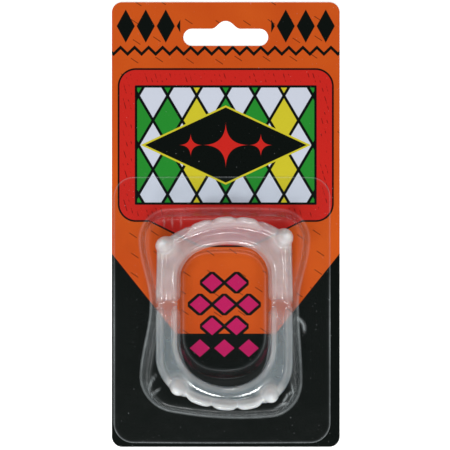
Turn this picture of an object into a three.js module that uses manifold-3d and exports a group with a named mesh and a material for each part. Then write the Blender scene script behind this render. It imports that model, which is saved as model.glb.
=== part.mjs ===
// A set of soft plastic vampire fangs, opened flat into a ring, sealed in a clear blister on a hang card.
// Millimetres. X runs across the card, Y up it, and Z out of its printed face. The card's back is z = 0.
import * as THREE from "three";
import Module from "manifold-3d";

const wasm = await Module();
wasm.setup();

// The ring of the two arches, seen from the front: the upper arch above the hinge line, the lower below it
const RING_HALF_WIDTH = 26.4;
const UPPER_SHOULDER_TAPER = 0.4;
const UPPER_REACH = 33.9;
const LOWER_REACH = 39.8;
const UPPER_BAND = 10.6;
const LOWER_BAND = 8.6;
const ARM_BAND = 8.6;
const UPPER_CORNER = 6;
const LOWER_CORNER = 16;
const UPPER_FLATNESS = 12.4;
const LOWER_FLATNESS = 11.7;
const MOUTH_UPPER_CORNER = 11.5;
const MOUTH_LOWER_CORNER = 16;
const MOUTH_UPPER_FLATNESS = 13.5;
const MOUTH_LOWER_FLATNESS = 1.4;
const UPPER_FAN = 0.0024;
const LOWER_FAN = 0.0022;

// Heights of the moulding over its own foot, and its walls
const GUM_DEPTH = 6;
const FLOOR_THICK = 1.2;
const ARM_PAD = 0.8;
const RIDGE_RISE = 1.1;
const ARM_RIM_RISE = 1.6;
const INNER_WALL_CUT = 1.5;
const INNER_WALL_LEAN = 1.3;
const GUM_WALL = 1.3;
const WALL_DRAFT = 0.1;
const WALL_LEAN = 1.5;
const RIM_THICK = 1.2;
const RIM_ROUND = 0.45;
const RIM_FOOT = 0.5;
const FRONT_RIDGE = 4.8;
const ARM_RIDGE = 1.8;
const FOOT_CHAMFER = 0.5;
const FOOT_ROUND = 0.9;

// The teeth
const TEETH_PER_ARCH = 3;
const UPPER_TOOTH_WIDTH = 8.8;
const LOWER_TOOTH_WIDTH = 9.6;
const UPPER_TOOTH_RISE = 5;
const LOWER_TOOTH_RISE = 4;
const TOOTH_NOTCH_DROP = 2.2;
const TOOTH_GROOVE = 1.1;
const TOOTH_INSET = 0.1;
const TOOTH_TIP_TURN = 0.45;
const GUM_TUCK = 0.5;
const GAP_SLOPE = 1.6;
const UPPER_FANG_RISE = 10.5;
const LOWER_FANG_RISE = 7.5;
const UPPER_FANG_RADIUS = 3.7;
const LOWER_FANG_RADIUS = 3.6;
const UPPER_FANG_INSET = 1.4;
const LOWER_FANG_INSET = 2.6;
const UPPER_FANG_TURN = 1;
const LOWER_FANG_TURN = 0.93;
const FANG_TIP_RADIUS = 0.8;
const FANG_LEAN = 0.9;
const FANG_FULLNESS = 2.2;
const FANG_ROOT_LIFT = 1.6;
const FANG_ROOT_TUCK = 0.5;
const FANG_ROOT_SHARE = 0.7;

// The two moulded hinges
const WEB_THICK = 0.8;
const HINGE_HALF_WIDTH = 0.7;
const HINGE_RUN = 2.2;

// The clear blister
const SHEET = 0.35;
const UPPER_GAP = 2.7;
const LOWER_GAP = 3;
const WAIST_GAP = 1.3;
const UPPER_BULGE = 4.4;
const LOWER_BULGE = 2.6;
const DOME_UPPER_CORNER = 11;
const DOME_LOWER_CORNER = 13;
const DOME_UPPER_FLATNESS = 400;
const DOME_LOWER_FLATNESS = 110;
const DOME_LEAN = -1.3;
const DOME_TILT = 0.0012;
const DOME_DRAFT = 2.1;
const DOME_SHOULDER = 2;
const DOME_FILLET = 0.6;
const HEADROOM = 0.5;
const WELL_SIDE_GAP = 1.2;
const WELL_UPPER_GAP = 2.2;
const WELL_LOWER_GAP = 5;
const WELL_UPPER_CORNER = 10.5;
const WELL_LOWER_CORNER = 14;
const WELL_UPPER_FLATNESS = 42;
const WELL_LOWER_FLATNESS = 14;
const WELL_DRAFT = 0.7;
const WELL_SHOULDER = 0.9;
const FLANGE_SIDE = 14;
const FLANGE_ABOVE = 12.6;
const FLANGE_BELOW = 10.6;
const FLANGE_CORNER = 7.7;
const FLANGE_FLATNESS = 4000;
const FLANGE_SHIFT = -0.9;

// The card
const CARD_THICK = 0.6;
const CARD_CORNER = 4;
const CARD_LEFT_EDGE = 0.7;
const CARD_RIGHT_EDGE = 3.6;
const CARD_FOOT_EDGE = 1.4;
const CARD_HEADER = 67.2;
const SLOT_WIDTH = 32.7;
const SLOT_HEIGHT = 6.6;
const SLOT_BELOW_TOP = 13.5;
const SLOT_HUMP_RISE = 3;
const SLOT_HUMP_HALF = 5.7;

// Gaps between the pieces
const SEAL_GAP = 0.1;
const SEAT_GAP = 0.3;

// How finely the outlines are stepped: points on a half side, a corner and a front
const RING_STEPS = { side: 8, corner: 6, front: 46 };
const BLISTER_STEPS = { side: 6, corner: 7, front: 8 };
const FANG_SIDES = 14;
const FANG_RINGS = 8;
const SLOT_CURVE_STEPS = 8;
const STEP_CROWDING = 1.5;
const SKIN_STEP = 0.01;

// What follows from the sizes above
const FOOT_Z = CARD_THICK + SEAT_GAP;
const CEILING_Z = FOOT_Z + GUM_DEPTH;
const FLANGE_Z = CARD_THICK + SEAL_GAP;
const TALLEST_FANG = Math.max(UPPER_FANG_RISE, LOWER_FANG_RISE);
const CROWN_Z = CEILING_Z + FLOOR_THICK + TALLEST_FANG + HEADROOM + SHEET;
const WELL_HALF_WIDTH = RING_HALF_WIDTH - ARM_BAND - WELL_SIDE_GAP;
const MOUTH_HALF_WIDTH = RING_HALF_WIDTH - ARM_BAND;

const STRAIGHT = { shift: 0, lean: 0, tilt: 0 };
const RING = {
  ...STRAIGHT,
  upper: { half: RING_HALF_WIDTH - UPPER_SHOULDER_TAPER, reach: UPPER_REACH, corner: UPPER_CORNER },
  lower: { half: RING_HALF_WIDTH, reach: LOWER_REACH, corner: LOWER_CORNER },
  waist: RING_HALF_WIDTH,
  upperFlatness: UPPER_FLATNESS,
  lowerFlatness: LOWER_FLATNESS,
};
const MOUTH = {
  ...STRAIGHT,
  upper: { half: MOUTH_HALF_WIDTH, reach: UPPER_REACH - UPPER_BAND, corner: MOUTH_UPPER_CORNER },
  lower: { half: MOUTH_HALF_WIDTH, reach: LOWER_REACH - LOWER_BAND, corner: MOUTH_LOWER_CORNER },
  waist: MOUTH_HALF_WIDTH,
  upperFlatness: MOUTH_UPPER_FLATNESS,
  lowerFlatness: MOUTH_LOWER_FLATNESS,
};
const WAIST = RING_HALF_WIDTH + WAIST_GAP;
const DOME = {
  shift: 0,
  lean: DOME_LEAN,
  tilt: DOME_TILT,
  upper: { half: WAIST + UPPER_BULGE, reach: UPPER_REACH + UPPER_GAP, corner: DOME_UPPER_CORNER },
  lower: { half: WAIST + LOWER_BULGE, reach: LOWER_REACH + LOWER_GAP, corner: DOME_LOWER_CORNER },
  waist: WAIST,
  upperFlatness: DOME_UPPER_FLATNESS,
  lowerFlatness: DOME_LOWER_FLATNESS,
};
const WELL = {
  ...STRAIGHT,
  upper: {
    half: WELL_HALF_WIDTH,
    reach: UPPER_REACH - UPPER_BAND - WELL_UPPER_GAP,
    corner: WELL_UPPER_CORNER,
  },
  lower: {
    half: WELL_HALF_WIDTH,
    reach: LOWER_REACH - LOWER_BAND - WELL_LOWER_GAP,
    corner: WELL_LOWER_CORNER,
  },
  waist: WELL_HALF_WIDTH,
  upperFlatness: WELL_UPPER_FLATNESS,
  lowerFlatness: WELL_LOWER_FLATNESS,
};
const FLANGE_HALF = WAIST + FLANGE_SIDE;
const FLANGE = {
  ...STRAIGHT,
  shift: FLANGE_SHIFT,
  upper: { half: FLANGE_HALF, reach: DOME.upper.reach + FLANGE_ABOVE, corner: FLANGE_CORNER },
  lower: { half: FLANGE_HALF, reach: DOME.lower.reach + FLANGE_BELOW, corner: FLANGE_CORNER },
  waist: FLANGE_HALF,
  upperFlatness: FLANGE_FLATNESS,
  lowerFlatness: FLANGE_FLATNESS,
};

const CARD_WIDTH = CARD_LEFT_EDGE + 2 * FLANGE_HALF + CARD_RIGHT_EDGE;
const CARD_HEIGHT = CARD_FOOT_EDGE + FLANGE.lower.reach + FLANGE.upper.reach + CARD_HEADER;
const HINGE_X = -CARD_WIDTH / 2 + CARD_LEFT_EDGE + FLANGE_HALF - FLANGE_SHIFT;
const HINGE_Y = -CARD_HEIGHT / 2 + CARD_FOOT_EDGE + FLANGE.lower.reach;

// 0 below zero, 1 above one, and an easy slope between.
function ease(share) {
  const t = Math.min(Math.max(share, 0), 1);
  return t * t * (3 - 2 * t);
}

// The arc that rounds one arch's corner and the wider arc across its front, both moved in by inset.
function archArcs(arch, flatness, inset) {
  const half = arch.half - inset;
  const corner = Math.max(Math.min(arch.corner, arch.half * 0.95) - inset, 0.2);
  const front = half + flatness;
  const cornerX = half - corner;
  const climb = Math.sqrt((front - corner) ** 2 - cornerX ** 2);
  const frontY = arch.reach - inset - front;
  return { half, corner, front, cornerX, cornerY: frontY + climb, frontY, turn: Math.atan2(climb, cornerX) };
}

// Half of an outline, from the hinge line on the right, round the upper arch, to the hinge line on the left.
function halfOutline(arch, flatness, waist, inset, steps) {
  const arcs = archArcs(arch, flatness, inset);
  const points = [];
  const sideX = (share) => waist - inset + (arcs.half - waist + inset) * ease(share);
  for (let i = 0; i < steps.side; i += 1) {
    const share = (i / steps.side) ** STEP_CROWDING;
    points.push([sideX(share), arcs.cornerY * share]);
  }
  for (let i = 0; i < steps.corner; i += 1) {
    const angle = (arcs.turn * i) / steps.corner;
    points.push([
      arcs.cornerX + arcs.corner * Math.cos(angle),
      arcs.cornerY + arcs.corner * Math.sin(angle),
    ]);
  }
  for (let i = 0; i <= steps.front / 2; i += 1) {
    const angle = arcs.turn + ((Math.PI / 2 - arcs.turn) * 2 * i) / steps.front;
    points.push([arcs.front * Math.cos(angle), arcs.frontY + arcs.front * Math.sin(angle)]);
  }
  const left = points.slice(1, -1).reverse();
  return [...points, ...left.map(([x, y]) => [-x, y])];
}

// A whole outline, anticlockwise from the right-hand end of the hinge line. All outlines made with the
// same steps have the same number of points, so any two of them join point to point. The lower half may
// stand to one side by a lean, and reach further down on one side by a tilt.
function outline(shape, inset, steps) {
  const above = halfOutline(shape.upper, shape.upperFlatness, shape.waist, inset, steps);
  const below = halfOutline(shape.lower, shape.lowerFlatness, shape.waist, inset, steps);
  const waist = shape.waist - inset;
  const loop = [...above, [-waist, 0], ...below.slice(1).map(([x, y]) => [-x, -y])];
  return loop.map(([x, y]) => {
    const aside = shape.shift + shape.lean * ease(-y / shape.lower.half);
    return [x + aside, y * (1 + (y < 0 ? shape.tilt * x : 0))];
  });
}

// The moulding's slight fan shape: its right-hand arm is longer than its left.
function fan([x, y]) {
  return [x, y * (1 + (y > 0 ? UPPER_FAN : LOWER_FAN) * x)];
}

// A closed solid from rows of points that go round it, each row [x, y, z] points. A looped skin joins
// its last row to its first, and any other skin is closed by a point in the middle of each end row.
function skin(rows, looped) {
  const around = rows[0].length;
  const points = rows.flat();
  const faces = [];
  const joins = looped ? rows.length : rows.length - 1;
  for (let r = 0; r < joins; r += 1) {
    const next = (r + 1) % rows.length;
    for (let i = 0; i < around; i += 1) {
      const j = (i + 1) % around;
      const [a, b, c, d] = [r * around + i, r * around + j, next * around + j, next * around + i];
      faces.push(a, b, c, a, c, d);
    }
  }
  if (!looped) {
    closeEnd(rows[0], 0, points, faces, true);
    closeEnd(rows[rows.length - 1], (rows.length - 1) * around, points, faces, false);
  }
  return solidFrom(points, faces);
}

function closeEnd(row, first, points, faces, isStart) {
  const middle = points.length;
  points.push([0, 1, 2].map((axis) => row.reduce((sum, p) => sum + p[axis], 0) / row.length));
  row.forEach((_, i) => {
    const j = (i + 1) % row.length;
    faces.push(middle, first + (isStart ? j : i), first + (isStart ? i : j));
  });
}

function solidFrom(points, faces) {
  return new wasm.Manifold(
    new wasm.Mesh({
      numProp: 3,
      vertProperties: new Float32Array(points.flat()),
      triVerts: new Uint32Array(faces),
    }),
  );
}

function geometryOf(solid) {
  const mesh = solid.getMesh();
  const geometry = new THREE.BufferGeometry();
  geometry.setAttribute("position", new THREE.BufferAttribute(new Float32Array(mesh.vertProperties), 3));
  geometry.setIndex(new THREE.BufferAttribute(new Uint32Array(mesh.triVerts), 1));
  geometry.computeVertexNormals();
  return geometry;
}

// How much of the moulding's full section stands at y: none in the hinge's thin web, all beyond its run.
function standing(y) {
  return ease((Math.abs(y) - HINGE_HALF_WIDTH) / HINGE_RUN);
}

// Where y lies on an arm or on a front: 0 along the arm, 1 round the front.
function frontShare(y) {
  const arcs = y > 0 ? archArcs(RING.upper, UPPER_FLATNESS, 0) : archArcs(RING.lower, LOWER_FLATNESS, 0);
  return ease((Math.abs(y) - arcs.cornerY * 0.8) / (arcs.cornerY * 0.45));
}

// A front tooth's edge: 1 in its middle and 0 at the notch beside it.
function toothEdge(x, y) {
  const width = y > 0 ? UPPER_TOOTH_WIDTH : LOWER_TOOTH_WIDTH;
  const fromFirst = x / width + TEETH_PER_ARCH / 2;
  if (fromFirst <= 0 || fromFirst >= TEETH_PER_ARCH) return 0;
  const acrossTooth = 2 * (fromFirst - Math.floor(fromFirst)) - 1;
  return 1 - Math.abs(acrossTooth) ** 4;
}

// 1 along the row of front teeth, falling to 0 in the low gap between the last one and the fang.
function toothRow(x, y) {
  const width = y > 0 ? UPPER_TOOTH_WIDTH : LOWER_TOOTH_WIDTH;
  const past = Math.abs(x) - (width * TEETH_PER_ARCH) / 2;
  return (1 - ease(past / GAP_SLOPE)) * frontShare(y);
}

// The floor of the moulding's upper side, thinned to a web at the hinges.
function floorZ(y) {
  return CEILING_Z + WEB_THICK + (FLOOR_THICK - WEB_THICK) * standing(y);
}

// The floor on the upper arch's arms, which a raised pad thickens.
function padZ(y) {
  return floorZ(y) + (y > 0 ? ARM_PAD * standing(y) * (1 - frontShare(y)) : 0);
}

// The top of the outer wall: scalloped teeth across the front, a plain rim past them and along the arms.
function rimZ(x, y) {
  const rise = y > 0 ? UPPER_TOOTH_RISE : LOWER_TOOTH_RISE;
  const tooth = rise - TOOTH_NOTCH_DROP * (1 - toothEdge(x, y));
  const above = ARM_RIM_RISE + (tooth - ARM_RIM_RISE) * toothRow(x, y);
  return floorZ(y) + above * standing(y);
}

function footZ(y, cut) {
  return CEILING_Z - (GUM_DEPTH - cut) * standing(y);
}

function ridgeZ(y) {
  return Math.max(floorZ(y) + RIDGE_RISE * standing(y), padZ(y)) + SKIN_STEP;
}

// One row of points round the ring: an outline, a height for each of its points, and the fan applied.
function ringRow(shape, inset, z) {
  return outline(shape, inset, RING_STEPS).map(([x, y]) => [...fan([x, y]), z(x, y)]);
}

// The way from one row of points towards another, by a share that each point sets.
function between(from, to, shareAt, z) {
  return from.map(([x, y], i) => {
    const share = shareAt(x, y);
    const place = [x + (to[i][0] - x) * share, y + (to[i][1] - y) * share];
    return [...fan(place), z(x, y)];
  });
}

// A row on the outer wall's face. Along the front teeth it stands at an inset of its own, and it is cut
// further in, by the groove, at each notch between two of them.
function faceRow(inset, toothInset, groove, z) {
  const flat = outline(RING, inset, RING_STEPS);
  const oneIn = outline(RING, inset + 1, RING_STEPS);
  const inward = (x, y) => (toothInset - inset + groove * (1 - toothEdge(x, y))) * toothRow(x, y);
  return between(flat, oneIn, inward, z);
}

// A row on the inner ridge, at a share of its width, which goes from its arm value to its front value.
function ridgeRow(share, z) {
  const arm = outline(MOUTH, -ARM_RIDGE * share, RING_STEPS);
  const front = outline(MOUTH, -FRONT_RIDGE * share, RING_STEPS);
  return between(arm, front, (x, y) => frontShare(y), z);
}

// A row on the inner wall, which leans into the mouth along the arms, by the given lean at their foot.
function innerRow(inset, lean, z) {
  const arm = outline(MOUTH, inset + lean, RING_STEPS);
  const front = outline(MOUTH, inset, RING_STEPS);
  return between(arm, front, (x, y) => Math.max(frontShare(y), 1 - standing(y)), z);
}

// The moulding without its fangs: a gum wall, a row of teeth, a floor, a ridge and an inner wall, with the
// trough for the wearer's teeth open towards the card.
function archRing() {
  const rimOutside = FOOT_CHAMFER + WALL_LEAN;
  const rimInside = rimOutside + RIM_THICK;
  const trough = FOOT_CHAMFER + GUM_WALL;
  const outerFoot = (x, y) => footZ(y, 0);
  const innerFoot = (x, y) => footZ(y, INNER_WALL_CUT);
  const gumTop = (x, y) => floorZ(y) - RIM_FOOT;
  const underTip = (x, y) => rimZ(x, y) - RIM_ROUND * standing(y);
  const half = TOOTH_GROOVE / 2;
  return skin(
    [
      faceRow(FOOT_CHAMFER, FOOT_CHAMFER + GUM_TUCK / 2, 0, outerFoot),
      faceRow(0, GUM_TUCK, 0, (x, y) => footZ(y, FOOT_ROUND * standing(y)) + SKIN_STEP),
      faceRow(FOOT_CHAMFER, GUM_TUCK, half, gumTop),
      faceRow(FOOT_CHAMFER + WALL_LEAN / 2, TOOTH_INSET, TOOTH_GROOVE, (x, y) => {
        return (gumTop(x, y) + underTip(x, y)) / 2;
      }),
      faceRow(rimOutside, TOOTH_INSET + TOOTH_TIP_TURN, TOOTH_GROOVE, underTip),
      faceRow(rimOutside + RIM_ROUND, TOOTH_INSET + 2.5 * TOOTH_TIP_TURN, half, (x, y) => {
        return rimZ(x, y) + SKIN_STEP;
      }),
      ringRow(RING, rimInside, underTip),
      ringRow(RING, rimInside + RIM_FOOT, (x, y) => padZ(y)),
      ridgeRow(1, (x, y) => padZ(y)),
      ridgeRow(0.85, (x, y) => ridgeZ(y)),
      ridgeRow(0.3, (x, y) => ridgeZ(y)),
      ringRow(MOUTH, 0, (x, y) => floorZ(y) - RIM_ROUND * standing(y)),
      innerRow(-WALL_DRAFT, INNER_WALL_LEAN, innerFoot),
      innerRow(-GUM_WALL, INNER_WALL_LEAN, innerFoot),
      ringRow(MOUTH, -GUM_WALL - WALL_DRAFT, () => CEILING_Z),
      ringRow(RING, trough + WALL_DRAFT, () => CEILING_Z),
      ringRow(RING, trough, outerFoot),
    ],
    true,
  );
}

// The space of the trough, which the fangs' roots stay clear of.
function troughSpace() {
  const below = () => FOOT_Z - GUM_DEPTH;
  const above = () => CEILING_Z;
  return skin(
    [
      ringRow(RING, FOOT_CHAMFER + GUM_WALL, below),
      ringRow(RING, FOOT_CHAMFER + GUM_WALL + WALL_DRAFT, above),
      ringRow(MOUTH, -GUM_WALL - WALL_DRAFT, above),
      ringRow(MOUTH, -GUM_WALL, below),
    ],
    true,
  );
}

// One fang: a round root in the gum wall that tapers to a blunt point and leans out from the ring. It
// stands near where its arch's corner runs into the front, on the given side.
function fang(arch, flatness, side, sign, size) {
  const arcs = archArcs(arch, flatness, size.inset);
  const angleOut = arcs.turn * size.turn;
  const out = [Math.cos(angleOut), Math.sin(angleOut)];
  const centre = [arcs.cornerX + arcs.corner * out[0], arcs.cornerY + arcs.corner * out[1]];
  const rootZ = FOOT_Z + FANG_ROOT_LIFT;
  const tipZ = CEILING_Z + FLOOR_THICK + size.rise;
  const rows = [];
  for (let r = 0; r <= FANG_RINGS; r += 1) {
    const share = r / FANG_RINGS;
    const full = Math.sqrt(1 - share ** FANG_FULLNESS) * Math.min(1, FANG_ROOT_SHARE + share);
    const reach = FANG_TIP_RADIUS + (size.radius - FANG_TIP_RADIUS) * full;
    const shift = FANG_LEAN * share ** 2 - FANG_ROOT_TUCK * (1 - share);
    const row = [];
    for (let i = 0; i < FANG_SIDES; i += 1) {
      const angle = (2 * Math.PI * i) / FANG_SIDES;
      const x = side * (centre[0] + out[0] * shift) + reach * Math.cos(angle);
      const y = sign * (centre[1] + out[1] * shift) + reach * Math.sin(angle);
      row.push([...fan([x, y]), rootZ + (tipZ - rootZ) * share]);
    }
    rows.push(row);
  }
  return skin(rows, false);
}

function fangDenture() {
  const trough = troughSpace();
  const upper = {
    radius: UPPER_FANG_RADIUS,
    inset: UPPER_FANG_INSET,
    turn: UPPER_FANG_TURN,
    rise: UPPER_FANG_RISE,
  };
  const lower = {
    radius: LOWER_FANG_RADIUS,
    inset: LOWER_FANG_INSET,
    turn: LOWER_FANG_TURN,
    rise: LOWER_FANG_RISE,
  };
  let denture = archRing();
  for (const side of [-1, 1]) {
    const above = fang(RING.upper, UPPER_FLATNESS, side, 1, upper);
    const below = fang(RING.lower, LOWER_FLATNESS, side, -1, lower);
    denture = denture.add(above.subtract(trough)).add(below.subtract(trough));
  }
  return denture;
}

// One side of the blister's sheet, from the edge of its well's floor to the foot of its dome. The side
// towards the card lies one sheet's thickness inside the other.
function blisterSide(inner) {
  const row = (shape, inset, z) => outline(shape, inset, BLISTER_STEPS).map(([x, y]) => [x, y, z]);
  const sheet = inner ? SHEET : 0;
  const low = FLANGE_Z + SHEET - sheet;
  const high = CROWN_Z - sheet;
  return [
    row(WELL, WELL_DRAFT - sheet, low),
    row(WELL, -sheet, high - WELL_SHOULDER),
    row(WELL, -sheet * 0.6 - WELL_SHOULDER * 0.3, high - WELL_SHOULDER * 0.3),
    row(WELL, -WELL_SHOULDER - sheet * 0.2, high),
    row(DOME, DOME_DRAFT + DOME_SHOULDER + sheet * 0.2, high),
    row(DOME, DOME_DRAFT + DOME_SHOULDER * 0.3 + sheet * 0.6, high - DOME_SHOULDER * 0.3),
    row(DOME, DOME_DRAFT + sheet, high - DOME_SHOULDER),
    row(DOME, sheet, low + DOME_FILLET),
    row(DOME, sheet - DOME_FILLET, low),
  ];
}

// The blister, from the middle of its well's underside, out over the dome's inside to the flange's edge,
// and back over its outside.
function blister() {
  const edge = outline(FLANGE, 0, BLISTER_STEPS);
  const under = edge.map(([x, y]) => [x, y, FLANGE_Z]);
  const over = edge.map(([x, y]) => [x, y, FLANGE_Z + SHEET]);
  return skin([...blisterSide(true), under, over, ...blisterSide(false).reverse()], false);
}

// The hang slot: a bar with round ends and a hump above its middle.
function hangSlot() {
  const y = CARD_HEIGHT / 2 - SLOT_BELOW_TOP;
  const round = SLOT_HEIGHT / 2;
  const straight = SLOT_WIDTH / 2 - round;
  const [top, peak] = [y + round, y + round + SLOT_HUMP_RISE];
  const [out, near, far] = [SLOT_HUMP_HALF, SLOT_HUMP_HALF * 0.5, SLOT_HUMP_HALF * 0.6];
  const slot = new THREE.Path();
  slot.moveTo(-straight, y - round);
  slot.lineTo(straight, y - round);
  slot.absarc(straight, y, round, -Math.PI / 2, Math.PI / 2, false);
  slot.lineTo(out, top);
  slot.bezierCurveTo(far, top, near, peak, 0, peak);
  slot.bezierCurveTo(-near, peak, -far, top, -out, top);
  slot.lineTo(-straight, top);
  slot.absarc(-straight, y, round, Math.PI / 2, (3 * Math.PI) / 2, false);
  return slot;
}

function backingCard() {
  const [right, top, round] = [CARD_WIDTH / 2, CARD_HEIGHT / 2, CARD_CORNER];
  const card = new THREE.Shape();
  card.absarc(right - round, top - round, round, 0, Math.PI / 2, false);
  card.absarc(round - right, top - round, round, Math.PI / 2, Math.PI, false);
  card.absarc(round - right, round - top, round, Math.PI, (3 * Math.PI) / 2, false);
  card.absarc(right - round, round - top, round, (3 * Math.PI) / 2, 2 * Math.PI, false);
  card.holes.push(hangSlot());
  return new THREE.ExtrudeGeometry(card, {
    depth: CARD_THICK,
    bevelEnabled: false,
    curveSegments: SLOT_CURVE_STEPS,
  });
}

function piece(name, geometry, look) {
  const mesh = new THREE.Mesh(geometry, new THREE.MeshStandardMaterial(look));
  mesh.name = name;
  return mesh;
}

const pack = new THREE.Group();
pack.name = "vampire_fang_denture_on_card";
pack.add(piece("backing_card", backingCard(), { color: 0xc8641e, roughness: 0.35 }));

const onCard = new THREE.Group();
onCard.position.set(HINGE_X, HINGE_Y, 0);
onCard.add(
  piece("blister", geometryOf(blister()), {
    color: 0xeef2f4,
    roughness: 0.08,
    transparent: true,
    opacity: 0.3,
  }),
);
onCard.add(piece("fang_denture", geometryOf(fangDenture()), { color: 0xdfe4dc, roughness: 0.4 }));
pack.add(onCard);

export default pack;
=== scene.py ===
"""Soft toy vampire fangs in their clear blister on a hang card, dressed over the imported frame.

Sizes are millimetres until a mesh is made. X runs across the card, Y up it, Z out of its printed face.
"""

import bpy
import numpy as np
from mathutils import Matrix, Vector


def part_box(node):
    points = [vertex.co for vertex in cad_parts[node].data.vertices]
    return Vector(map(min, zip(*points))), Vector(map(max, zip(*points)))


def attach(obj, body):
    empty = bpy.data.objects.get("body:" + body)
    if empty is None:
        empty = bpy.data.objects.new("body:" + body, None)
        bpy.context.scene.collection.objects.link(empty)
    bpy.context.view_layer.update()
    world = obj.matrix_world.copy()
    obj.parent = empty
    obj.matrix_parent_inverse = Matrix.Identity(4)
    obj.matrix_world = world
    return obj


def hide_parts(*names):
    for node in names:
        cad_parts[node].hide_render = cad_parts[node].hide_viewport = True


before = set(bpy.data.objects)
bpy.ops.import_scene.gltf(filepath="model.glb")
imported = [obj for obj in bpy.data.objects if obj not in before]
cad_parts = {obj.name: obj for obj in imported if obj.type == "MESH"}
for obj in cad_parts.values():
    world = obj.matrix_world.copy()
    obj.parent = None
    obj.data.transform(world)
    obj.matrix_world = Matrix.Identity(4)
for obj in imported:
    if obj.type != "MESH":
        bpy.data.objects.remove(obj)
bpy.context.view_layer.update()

MM = 0.001
# The photograph's frame: how wide each pixel is on the card, and where its middle falls
PIXEL = 0.385
PHOTO_PIXELS = 450
PHOTO_SIDE = PHOTO_PIXELS * PIXEL
PHOTO_CENTRE = (-0.29, -0.19)
CAMERA_HEIGHT = 620.0

# Places from the frame
CARD_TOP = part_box("backing_card")[1][2] / MM
SHEET_LOW, SHEET_HIGH = (np.array(corner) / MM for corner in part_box("blister"))
FOOT_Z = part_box("fang_denture")[0][2] / MM

# The moulding, as the part's source sizes it, but for the runs and the worn ridge
FAN = {"upper": 0.0024, "lower": 0.0022}
GUM_DEPTH = 6.0
FLOOR_THICK = 1.2
WEB_THICK = 0.8
ARM_PAD = 0.8
RIDGE_RISE = 1.1
ARM_RIM_RISE = 1.6
GUM_WALL = 1.3
INNER_WALL_CUT = 1.5
INNER_WALL_LEAN = 1.3
FRONT_RIDGE = 4.8
ARM_RIDGE = 1.8
TEETH_PER_ARCH = 3
TOOTH_WIDTH = {"upper": 8.8, "lower": 9.6}
TOOTH_RISE = {"upper": 5.0, "lower": 4.0}
NOTCH_DROP = 2.2
HINGE_HALF_WIDTH = 0.7
HINGE_RUN = 2.2
WEB_RUN = 5.0
PAD_RUN = 9.0
FRONT_START = 0.8
FRONT_RUN = 0.45
TOOTH_ROW_FADE = 1.6
RIDGE_WEAR = 0.7
RIDGE_OVER_PAD = 0.05
RIDGE_WIDENING = {"upper": 1.0, "lower": 0.7}
GUM_LINE_DROP = 0.7
GUM_ARCH = 1.7
CEILING_Z = FOOT_Z + GUM_DEPTH
FLOOR_TOP = CEILING_Z + FLOOR_THICK

STRAIGHT = {"shift": 0.0, "lean": 0.0, "tilt": 0.0}
RING = STRAIGHT | {
    "waist": 26.4,
    "upper": {"half": 26.0, "reach": 33.9, "corner": 6.0, "flatness": 12.4},
    "lower": {"half": 26.4, "reach": 39.8, "corner": 16.0, "flatness": 11.7},
}
MOUTH = STRAIGHT | {
    "waist": 17.8,
    "upper": {"half": 17.8, "reach": 23.3, "corner": 11.5, "flatness": 13.5},
    "lower": {"half": 17.8, "reach": 31.2, "corner": 16.0, "flatness": 1.4},
}
DOME = {
    "shift": 0.0,
    "lean": -1.3,
    "tilt": 0.0012,
    "waist": 27.7,
    "upper": {"half": 32.1, "reach": 36.6, "corner": 11.0, "flatness": 400.0},
    "lower": {"half": 30.3, "reach": 42.8, "corner": 13.0, "flatness": 110.0},
}
WELL = STRAIGHT | {
    "waist": 16.6,
    "upper": {"half": 16.6, "reach": 21.1, "corner": 10.5, "flatness": 42.0},
    "lower": {"half": 16.6, "reach": 26.2, "corner": 14.0, "flatness": 14.0},
}
FLANGE = STRAIGHT | {
    "shift": -0.9,
    "waist": 41.7,
    "upper": {"half": 41.7, "reach": 49.2, "corner": 7.7, "flatness": 4000.0},
    "lower": {"half": 41.7, "reach": 53.4, "corner": 7.7, "flatness": 4000.0},
}
HINGE_X = (SHEET_LOW[0] + SHEET_HIGH[0]) / 2 - FLANGE["shift"]
HINGE_Y = SHEET_LOW[1] + FLANGE["lower"]["reach"]
SIDE_STEPS = 36
CORNER_STEPS = 22
FRONT_STEPS = 130
STEP_CROWDING = 1.5
WIDEST_CORNER = 0.95
SMALLEST_CORNER = 0.2
OUTLINE_POINTS = 2 * (2 * (SIDE_STEPS + CORNER_STEPS) + FRONT_STEPS)


def ease(share):
    """0 below zero, 1 above one, and 3t^2 - 2t^3 between."""
    t = np.clip(share, 0.0, 1.0)
    return t * t * (3.0 - 2.0 * t)


def by_arch(y, values):
    """The upper arch's value above the hinge line, and the lower arch's below it."""
    return np.where(y > 0, values["upper"], values["lower"])


def table(columns, *rows):
    """A table with named columns, as one dictionary for each row."""
    return [dict(zip(columns.split(), row)) for row in rows]


def corner_climb(half, corner, flatness):
    """How much higher a corner arc's centre lies than the centre of the front arc that it runs into."""
    return np.sqrt((half + flatness - corner) ** 2 - (half - corner) ** 2)


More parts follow.
